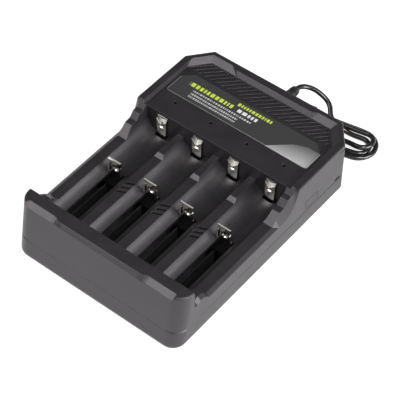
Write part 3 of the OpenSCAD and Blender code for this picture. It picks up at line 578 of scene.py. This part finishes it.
class ChargerContactLook(bpy.types.PropertyGroup):
    nickel: FloatVectorProperty(name="Nickel", description="Colour of the plated contacts",
                                size=3, subtype="COLOR", default=(0.86, 0.83, 0.78))
    roughness: FloatProperty(name="Roughness", description="Roughness of the plating", default=0.15)
    slider_roughness: FloatProperty(name="Slider roughness", description="Roughness of the sliding plates",
                                    default=0.1)
    sheet_thickness: FloatProperty(name="Sheet thickness", description="Thickness of the contacts' sheet",
                                   default=0.0005, unit="LENGTH")
    fold_radius: FloatProperty(name="Fold radius", description="Middle radius of the folds", default=0.00032,
                               unit="LENGTH")
    flap_depth: FloatProperty(name="Flap depth", description="Depth of the flap along a slider's top edge",
                              default=0.00122, unit="LENGTH")
    wing_depth: FloatProperty(name="Wing depth", description="Depth of a slider's two wings", default=0.0014,
                              unit="LENGTH")
    dimple_height: FloatProperty(name="Dimple height", description="Height of the dimple that meets the cell",
                                 default=0.0207, unit="LENGTH")
    dimple_radius: FloatProperty(name="Dimple radius", description="Radius of the dimple's rim", default=0.0020,
                                 unit="LENGTH")
    dimple_depth: FloatProperty(name="Dimple depth", description="Depth of the dimple", default=0.0012,
                                unit="LENGTH")
    spring_turns: IntProperty(name="Spring turns", description="Turns of each slider spring", default=32)


class ChargerCordLook(bpy.types.PropertyGroup):
    diameter: FloatProperty(name="Diameter", description="Diameter of the cord", default=0.0026, unit="LENGTH")
    tone: FloatProperty(name="Tone", description="Base grey of the PVC", default=0.007)
    roughness: FloatProperty(name="Roughness", description="Roughness of the PVC", default=0.24)


class ChargerStage(bpy.types.PropertyGroup):
    key_power: FloatProperty(name="Key power", description="Power of the low key light at the right",
                             default=26.0, unit="POWER")
    edge_power: FloatProperty(name="Edge power", description="Power of the light over the back corner",
                              default=12.0, unit="POWER")
    front_power: FloatProperty(name="Front power", description="Power of the broad front light",
                               default=10.5, unit="POWER")
    sky_low: FloatProperty(name="Low sky", description="Brightness of the surroundings near the horizon",
                           default=0.9)
    sky_high: FloatProperty(name="High sky", description="Brightness of the surroundings overhead",
                            default=0.07)
    floor_glow: FloatProperty(name="Floor glow", description="Glow that keeps the floor white", default=0.76)
    lens: FloatProperty(name="Lens", description="Focal length of the camera", default=143.765)


# Pieces


def slider_sheet(index, look, material):
    """A sliding contact's plate. On a flat pattern, s runs across the strip and t up it. Past the flat height the
    sheet turns forward on an arc and then runs straight, as a narrow flap along the top edge. The two wings turn
    forward in the same way past half the width, and elsewhere the pattern ends at half the width. The dimple
    pushes the sheet back towards the cell as the cap of a ball."""
    low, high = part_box(f"slider_plate_{index}")
    thick = look.sheet_thickness
    middle_x = (low.x + high.x) / 2
    sheet_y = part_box(f"slider_spring_{index}")[0].y - 0.0023
    r = look.fold_radius
    half = (high.x - low.x) / 2
    top, foot = high.z - thick / 2, low.z + 0.0001
    wing_low, wing_high = 0.0175, 0.0226
    bend = r * math.pi / 2

    def folded(s, flat, straight, full=math.pi / 2):
        """Place along the strip and depth of the fold at s, where the flat part ends at flat."""
        over = max(0.0, s - flat)
        angle = min(over / r, full)
        rest = min(max(0.0, over - r * full), straight)
        return (min(s, flat) + r * math.sin(angle) + rest * math.cos(full),
                r * (1 - math.cos(angle)) + rest * math.sin(full))

    ball = (look.dimple_radius ** 2 + look.dimple_depth ** 2) / (2 * look.dimple_depth)
    side_flat = half - thick / 2 - r
    wing_straight = look.wing_depth - r - thick / 2
    flap_straight = look.flap_depth - r
    reach = side_flat + bend + wing_straight
    lean = math.radians(70)
    flat_top = top - foot - r * math.sin(lean) - flap_straight * math.cos(lean)
    across = np.linspace(-reach, reach, 101)
    up = np.concatenate([
        np.linspace(0, wing_low - foot, 22), np.linspace(wing_low - foot + 0.00002, wing_high - foot, 44),
        np.linspace(wing_high - foot + 0.00002, flat_top, 20),
        np.linspace(flat_top + 0.0001, flat_top + r * lean + flap_straight, 14),
    ])
    grid = np.zeros((len(up), len(across), 3))
    is_wing = [wing_low < foot + t <= wing_high + 1e-6 for t in up]
    for i, t in enumerate(up):
        z, dz = folded(t, flat_top, flap_straight, lean)
        for j, s in enumerate(across):
            if is_wing[i]:
                x, dx = folded(abs(s), side_flat, wing_straight)
            else:
                x, dx = min(abs(s), half), 0.0
            away = math.hypot(s, foot + t - look.dimple_height)
            push = 0.0
            if away < look.dimple_radius:
                push = math.sqrt(ball ** 2 - away ** 2) - ball + look.dimple_depth
            grid[i, j] = (middle_x + math.copysign(x, s), sheet_y - dx - dz + push, foot + z)
    keep = np.ones((len(up) - 1, len(across) - 1), bool)
    for i in range(keep.shape[0]):
        whole = is_wing[i] and is_wing[i + 1]
        for j in range(keep.shape[1]):
            inner = min(abs(across[j]), abs(across[j + 1]))
            if whole:
                keep[i, j] = True
            elif is_wing[i] != is_wing[i + 1]:
                keep[i, j] = inner < side_flat
            else:
                keep[i, j] = inner < half
    return sheet_piece(f"bent_slider_plate_{index}", grid, thick, keep, material)


def contact_sheet(index, look, material):
    """A fixed contact. Its back part follows a bent line in the YZ plane from the board up to the slot in the head
    wall. Its front part is a height field over the wall, in u from -1 to 1 across and z up: flat at the foot,
    pushed out along a V whose point is in the middle, leaning back from there and upright again just under the
    slot. A small bar is pressed out under the point of the V."""
    low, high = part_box(f"fixed_contact_{index}")
    middle_x = (low.x + high.x) / 2
    thick = look.sheet_thickness
    body_y, slot_y, slot_z = 19.66, 20.75, 27.1
    # Half the strip's width at its foot, at the bar and from the V upwards
    foot_half, middle_half, top_half = 2.35, 2.7, 2.85
    # The V: how far its point stands out, its point's height, the rise of its arms, the share that leans back
    v_out, v_point, v_rise, v_lean = 0.85, 22.7, 3.0, 0.74
    # The bar: half its width, its height, half its rise and how far it stands out
    bar_half, bar_z, bar_rise, bar_out = 1.9, 20.6, 1.0, 0.75
    back = np.array([(28.0, 23.45), (23.9, 23.45), (23.25, 23.9), (23.2, 26.2), (22.85, 27.05), (22.3, 27.22),
                     (21.6, 27.24)])
    back = even_steps(spline(np.c_[np.zeros(len(back)), back]), 0.3)
    heights = np.concatenate([np.linspace(slot_z, 20.0, 44), np.linspace(19.8, 12.65, 26)])
    cols = 33
    grid = np.zeros((len(back) + len(heights), cols, 3))
    for j, u in enumerate(np.linspace(-1, 1, cols)):
        side = abs(u)
        out = v_out * (1 - side ** 1.6)
        start = v_point + v_rise * side
        for i, (_, y, z) in enumerate(back):
            grid[i, j] = (u * top_half, y, z)
        for i, z in enumerate(heights):
            if z >= start:
                t = (z - start) / (slot_z - start + 1e-6)
                y = body_y - out + (slot_y - body_y + out) * min(1.0, t / v_lean)
            else:
                t = float(np.clip(1 - (start - z) / 0.9, 0, 1))
                y = body_y - out * t * t * (3 - 2 * t)
            bar = max(0.0, 1 - (side * middle_half / bar_half) ** 2) * max(0.0, 1 - ((z - bar_z) / bar_rise) ** 2)
            y -= bar_out * bar
            half = float(np.interp(z, [13.0, 21.0, 23.5], [foot_half, middle_half, top_half]))
            grid[len(back) + i, j] = (u * half, y, z)
    grid *= MM
    grid[:, :, 0] += middle_x
    keep = np.ones((grid.shape[0] - 1, cols - 1), bool)
    return sheet_piece(f"bent_fixed_contact_{index}", grid, thick, keep, material)


def spring_coil(index, look, material):
    """A slider's extension spring: a helix about a line along Y."""
    low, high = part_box(f"slider_spring_{index}")
    wire = 0.0006
    radius = (high.x - low.x) / 2 - wire / 2
    middle = (low + high) / 2
    turns = look.spring_turns
    t = np.linspace(0, 1, turns * 14 + 1)
    angle = 2 * math.pi * turns * t
    y = low.y + wire / 2 + (high.y - low.y - wire) * t
    line = np.stack([middle.x + radius * np.cos(angle), y, middle.z + radius * np.sin(angle)], axis=1)
    return tube_piece(f"wound_slider_spring_{index}", line, wire / 2, material, 6)


# The cord's route: the hank's middle and turn on the ground, and the height of each layer
HANK_MIDDLE = (20.0, 82.2)
HANK_TURN = math.radians(8.5)
LAYER_LOW = 1.36
LAYER_HIGH = 4.0


def on_hank(u, v, z=LAYER_LOW):
    """A place in the hank's own frame, u along it and v across it, as a place in millimetres."""
    c, s = math.cos(HANK_TURN), math.sin(HANK_TURN)
    return (HANK_MIDDLE[0] + u * c - v * s, HANK_MIDDLE[1] + u * s + v * c, z)


def fold_arc(u, v, r, start, end, z0, z1):
    """Nine points on an arc of a fold, in degrees, climbing from z0 to z1."""
    out = []
    for k in range(9):
        a = math.radians(start + (end - start) * k / 8)
        out.append(on_hank(u + r * math.cos(a), v + r * math.sin(a), z0 + (z1 - z0) * k / 8))
    return out


def cord_line():
    """The cord's middle line in metres: out of the strain relief and down in an arc, round the hank's inner and
    outer turns on the ground, back over them through the hank's middle, and off its left end into the plug."""
    low, high = LAYER_LOW, LAYER_HIGH
    lead = [(0, 83.7, 16.5), (0, 84.9, 16.5), (0.4, 87.2, 16.1), (2.1, 89.9, 15.1), (5.3, 92.0, 13.7),
            (9.2, 93.0, 11.7), (13.0, 92.9, 9.8), (15.9, 91.4, 8.2), (17.9, 88.9, 6.9)]
    inner = [on_hank(1.3, 5.0, 5.6), on_hank(5.0, 4.6, 3.8), on_hank(9.0, 4.7, 2.0), on_hank(12.6, 4.75)]
    inner += fold_arc(18.3, -0.35, 5.3, 88, -86, low, low)
    inner += [on_hank(14, -6.0), on_hank(8, -6.2), on_hank(0, -6.2), on_hank(-9, -6.2)]
    inner += fold_arc(-13.2, 1.6, 7.8, 268, 92, low, low)
    outer = [on_hank(-8, 9.2), on_hank(2, 9.0), on_hank(11, 9.25)]
    outer += fold_arc(17.4, 0.25, 9.15, 88, -90, low, low)
    outer += [on_hank(12, -8.9), on_hank(5, -8.9, 1.9), on_hank(-2, -8.9, 3.6), on_hank(-7, -8.9, high)]
    outer += fold_arc(-13.0, -3.5, 5.4, 268, 80, high, high)
    middle = [on_hank(-8, 1.6, high - 0.6), on_hank(-3, 0.8, 2.6), on_hank(2, -0.1, 1.5), on_hank(7, -0.7),
              on_hank(11.5, -1.3, 1.9), on_hank(15.2, -2.5, 3.2)]
    middle += fold_arc(19.0, 2.0, 5.45, -84, 20, high, high)[::2]
    middle += fold_arc(19.0, 2.0, 5.4, 38, 86, 3.95, 3.1)[::3]
    middle += [on_hank(14, 7.1, 3.05), on_hank(6, 7.1, 3.0), on_hank(-2, 7.2, 3.05), on_hank(-8, 6.8, 3.5)]
    middle += [on_hank(-14, 5.0, high), on_hank(-20, 2.2, high)]
    tail = [(-4.4, 78.5, 3.92), (-8.2, 76.7, 3.85), (-12, 76.1, 3.8)]
    route = spline(lead + inner + outer + middle + tail)
    return even_steps(eased(even_steps(route, 0.4), 12), 0.8) * MM


def plug_grip(material):
    """The plug's moulded grip: rounded-rectangle sections along X whose half sizes shrink towards the cord and at
    the mouth, with four shallow finger ribs on its flanks."""
    low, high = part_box("usb_plug_grip")
    half_w, half_h = (high.y - low.y) / 2, (high.z - low.z) / 2
    middle = (low + high) / 2
    length = high.x - low.x
    sides = 48
    angle = np.linspace(0, 2 * math.pi, sides, endpoint=False)
    rings = []
    stations = [(0, 0.86), (0.012, 0.95), (0.03, 0.99), (0.05, 1.0)]
    stations += [(t, 1.0) for t in np.linspace(0.08, 0.62, 55)]
    stations += [(t, 1 - 0.48 * ((t - 0.62) / 0.38) ** 2) for t in np.linspace(0.64, 0.985, 18)]
    stations += [(1.0, 0.44)]
    for t, size in stations:
        rib = 0.0
        if 0.26 < t < 0.6:
            rib = 0.0004 * (0.5 - 0.5 * math.cos(2 * math.pi * (t - 0.26) / 0.085))
        w, h = half_w * size, half_h * max(size, 0.62)
        c, s = np.cos(angle), np.sin(angle)
        power = 2 / 5
        y = np.sign(c) * np.abs(c) ** power * (w - rib * (np.abs(c) > 0.75))
        z = np.sign(s) * np.abs(s) ** power * h
        rings.append(np.stack([np.full(sides, low.x + t * length), middle.y + y, middle.z + z], axis=1))
    return mesh_piece("moulded_plug_grip", np.concatenate(rings), ring_faces(len(rings), sides), material)


def tie_band(material):
    """The tie round the hank: a flat band whose outline is a rounded rectangle round both runs, which dips towards
    the back, where the outer run lies on the ground."""
    c, s = math.cos(HANK_TURN), math.sin(HANK_TURN)
    thick, width = 0.0007, 0.0036
    half_v, half_z = 0.0109, 0.0029
    middle_v, middle_z = 0.00025, 0.0031
    # Where along the hank the band sits, then where across it the dip starts and ends and the inner heights there
    u0 = -12.0
    dip_v, dip_z = [0.005, 0.0109], [0.0055, 0.0026]
    angle = np.linspace(0, 2 * math.pi, 96, endpoint=False)
    power = 2 / 6
    rings = []
    base = np.array([HANK_MIDDLE[0] + u0 * c, HANK_MIDDLE[1] + u0 * s]) * MM
    for a in angle:
        v = math.copysign(abs(math.cos(a)) ** power, math.cos(a))
        z = math.copysign(abs(math.sin(a)) ** power, math.sin(a))
        ring = []
        for du, out in ((-1, 0), (1, 0), (1, 1), (-1, 1)):
            along = du * width / 2
            across = middle_v + v * (half_v - thick * (1 - out))
            dip = np.interp(across, dip_v, dip_z) + thick * out
            up = min(middle_z + z * (half_z - thick * (1 - out)), dip)
            ring.append((base[0] + along * c - across * s, base[1] + along * s + across * c, up))
        rings.append(ring)
    points = np.array(rings).reshape(-1, 3)
    faces = ring_faces(len(rings), 4, closed=True)
    return mesh_piece("banded_cord_tie", points, faces, material, math.radians(30))


# Operators


def done(result):
    """Stops the script if an operator didn't finish."""
    if result != {"FINISHED"}:
        raise RuntimeError(f"An operator ended with {result}")


class CHARGER_OT_shells(bpy.types.Operator):
    """Gives both shells their moulded plastic"""

    bl_idname = "charger.shells"
    bl_label = "Shells"

    def execute(self, context):
        look = context.scene.charger_shell
        repaint(("top_shell", "bottom_shell"), moulded_abs("shell plastic", look, look.tone))
        # The carriages get a darker copy of the shell plastic without gloss: painted shade, for the shadow they
        # lie in
        sliders = moulded_abs("carriage plastic with painted shade", look, look.tone * 0.3, marks=False, gloss=0.0)
        repaint([f"slider_carriage_{i}" for i in BAYS], sliders)
        return {"FINISHED"}


class CHARGER_OT_label(bpy.types.Operator):
    """Prints the label's film, with its painted highlight and painted reflection"""

    bl_idname = "charger.label"
    bl_label = "Label"

    def execute(self, context):
        repaint(("label_film",), label_print_and_painted_light(context.scene.charger_label))
        return {"FINISHED"}


class CHARGER_OT_inside(bpy.types.Operator):
    """Finishes the board, its parts, the wires, the lamps and the screws"""

    bl_idname = "charger.inside"
    bl_label = "Inside"

    def execute(self, context):
        repaint(("circuit_board",), speckled("board laminate", (0.02, 0.10, 0.05), 0.4))
        repaint(("charge_chips",), speckled("chip epoxy", (0.02, 0.02, 0.022), 0.55))
        repaint(("filter_capacitor",), speckled("capacitor sleeve", (0.02, 0.03, 0.09), 0.3))
        repaint(("supply_leads",), speckled("lead insulation", (0.35, 0.02, 0.015), 0.4))
        repaint(("board_screws", "case_screws"), sheet_metal("screw steel", (0.45, 0.44, 0.43), 0.35))
        repaint([f"indicator_led_{i}" for i in BAYS], lamp_lens())
        return {"FINISHED"}


class CHARGER_OT_contacts(bpy.types.Operator):
    """Bends the fixed contacts and the sliders' plates from sheet"""

    bl_idname = "charger.contacts"
    bl_label = "Contacts"

    def execute(self, context):
        look = context.scene.charger_contact
        nickel = sheet_metal("contact nickel", tuple(look.nickel), look.roughness)
        polished = sheet_metal("slider nickel", tuple(look.nickel), look.slider_roughness, 0.01)
        repaint(("spring_anchors",), nickel)
        for i in BAYS:
            fixed = contact_sheet(i, look, nickel)
            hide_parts(f"fixed_contact_{i}")
            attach(fixed, "case")
            plate = slider_sheet(i, look, polished)
            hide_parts(f"slider_plate_{i}")
            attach(plate, f"slider_{i}")
        return {"FINISHED"}


class CHARGER_OT_springs(bpy.types.Operator):
    """Winds the sliders' springs"""

    bl_idname = "charger.springs"
    bl_label = "Springs"

    def execute(self, context):
        look = context.scene.charger_contact
        steel = sheet_metal("spring steel", (0.55, 0.54, 0.52), 0.3)
        for i in BAYS:
            coil = spring_coil(i, look, steel)
            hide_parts(f"slider_spring_{i}")
            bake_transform(coil)
        return {"FINISHED"}


class CHARGER_OT_cord(bpy.types.Operator):
    """Lays the cord with its strain relief, its tie and its plug"""

    bl_idname = "charger.cord"
    bl_label = "Cord and plug"

    def execute(self, context):
        look = context.scene.charger_cord
        pvc = soft_pvc("cord pvc", look.tone, look.roughness)
        moulding = soft_pvc("moulded pvc", look.tone * 1.2, look.roughness + 0.1)
        line = cord_line()
        cord = tube_piece("supply_cord", line, look.diameter / 2, pvc, 16)
        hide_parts("cord_lead", "cord_hank", "cord_tail")
        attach(cord, "case")
        repaint(("strain_relief",), moulding)
        grip = plug_grip(moulding)
        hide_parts("usb_plug_grip")
        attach(grip, "case")
        tie = tie_band(speckled("tie plastic", (0.03, 0.03, 0.032), 0.45))
        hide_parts("cord_tie")
        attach(tie, "case")
        repaint(("usb_plug_shell",), sheet_metal("plug steel", (0.72, 0.71, 0.69), 0.28))
        repaint(("usb_plug_tongue",), speckled("tongue plastic", (0.75, 0.75, 0.72), 0.4, 500.0, 0.05))
        return {"FINISHED"}


class CHARGER_OT_stage(bpy.types.Operator):
    """Sets the floor, the lights, the white surroundings and the camera"""

    bl_idname = "charger.stage"
    bl_label = "Stage"

    def execute(self, context):
        stage = context.scene.charger_stage
        size = 3.0
        corners = [(-size, -size, 0), (size, -size, 0), (size, size, 0), (-size, size, 0)]
        floor = mesh_piece("studio_floor", corners, [(0, 1, 2, 3)], floor_white())
        soft_light("key light", (1.15, 0.04, 0.42), 0.6, stage.key_power)
        soft_light("front light", (-0.48, -0.58, 0.88), 0.75, stage.front_power)
        soft_light("edge light", (0.56, -0.22, 1.0), 0.35, stage.edge_power)
        surroundings(stage)
        photo_camera(stage)
        context.scene.view_settings.view_transform = "Standard"
        return {"FINISHED"}


def soft_light(name, place, size, power):
    """A square area light that faces the middle of the object."""
    lamp = bpy.data.lights.new(name, "AREA")
    lamp.shape = "SQUARE"
    lamp.size = size
    lamp.energy = power
    light = bpy.data.objects.new(name, lamp)
    light.location = place
    light.rotation_euler = (Vector((0, 0, 0.015)) - Vector(place)).to_track_quat("-Z", "Y").to_euler()
    bpy.context.scene.collection.objects.link(light)


def surroundings(stage):
    """White where the camera sees past the floor, and otherwise a soft sky that darkens overhead."""
    world = bpy.data.worlds.new("studio surroundings")
    world.use_nodes = True
    tree = Tree(world.node_tree)
    shader = world.node_tree.nodes["Background"]
    around = tree.add("ShaderNodeTexCoord").outputs["Generated"]
    up = tree.add("ShaderNodeSeparateXYZ", {0: around}).outputs["Z"]
    level = tree.range(up, 0.05, 0.5, stage.sky_low, stage.sky_high)
    seen = tree.add("ShaderNodeLightPath").outputs["Is Camera Ray"]
    tree.tree.links.new(tree.mix(seen, level, (1, 1, 1, 1)), shader.inputs["Color"])
    bpy.context.scene.world = world


def photo_camera(stage):
    """The camera at the photograph's viewing angle: its axes and place are fitted to the case's corners."""
    data = bpy.data.cameras.new("photo camera")
    data.sensor_width = 36.0
    data.lens = stage.lens
    data.shift_x = 0.029391
    data.shift_y = -0.019592
    data.clip_start = 0.01
    camera = bpy.data.objects.new("photo camera", data)
    right = Vector((0.77834827, 0.62783206, 0.00094149))
    up = Vector((-0.47061673, 0.58244832, 0.66277737))
    axes = Matrix((right, up, right.cross(up))).transposed().to_4x4()
    camera.matrix_world = Matrix.Translation((0.307212, -0.381693, 0.568073)) @ axes
    bpy.context.scene.collection.objects.link(camera)
    bpy.context.scene.camera = camera


STEPS = ("stage", "shells", "label", "inside", "contacts", "springs", "cord")


class CHARGER_PT_steps(bpy.types.Panel):
    bl_idname = "CHARGER_PT_steps"
    bl_label = "Cell charger"
    bl_space_type = "VIEW_3D"
    bl_region_type = "UI"
    bl_category = "Charger"

    def draw(self, context):
        for step in STEPS:
            self.layout.operator(f"charger.{step}")


SETTINGS = {
    "charger_shell": ChargerShellLook,
    "charger_label": ChargerLabelLook,
    "charger_contact": ChargerContactLook,
    "charger_cord": ChargerCordLook,
    "charger_stage": ChargerStage,
}
CLASSES = (
    *SETTINGS.values(),
    CHARGER_OT_stage, CHARGER_OT_shells, CHARGER_OT_label, CHARGER_OT_inside, CHARGER_OT_contacts,
    CHARGER_OT_springs, CHARGER_OT_cord, CHARGER_PT_steps,
)


def register():
    """Registers the classes and puts the settings on the scene."""
    for cls in CLASSES:
        bpy.utils.register_class(cls)
    for name, cls in SETTINGS.items():
        setattr(bpy.types.Scene, name, PointerProperty(type=cls))


def unregister():
    """Takes the settings and the classes away again."""
    for name in SETTINGS:
        delattr(bpy.types.Scene, name)
    for cls in reversed(CLASSES):
        bpy.utils.unregister_class(cls)


def main():
    """Registers the classes, builds the node groups and runs each step."""
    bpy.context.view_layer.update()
    register()
    for group in GROUPS:
        group()
    for step in STEPS:
        done(getattr(bpy.ops.charger, step)())


if __name__ == "__main__":
    main()
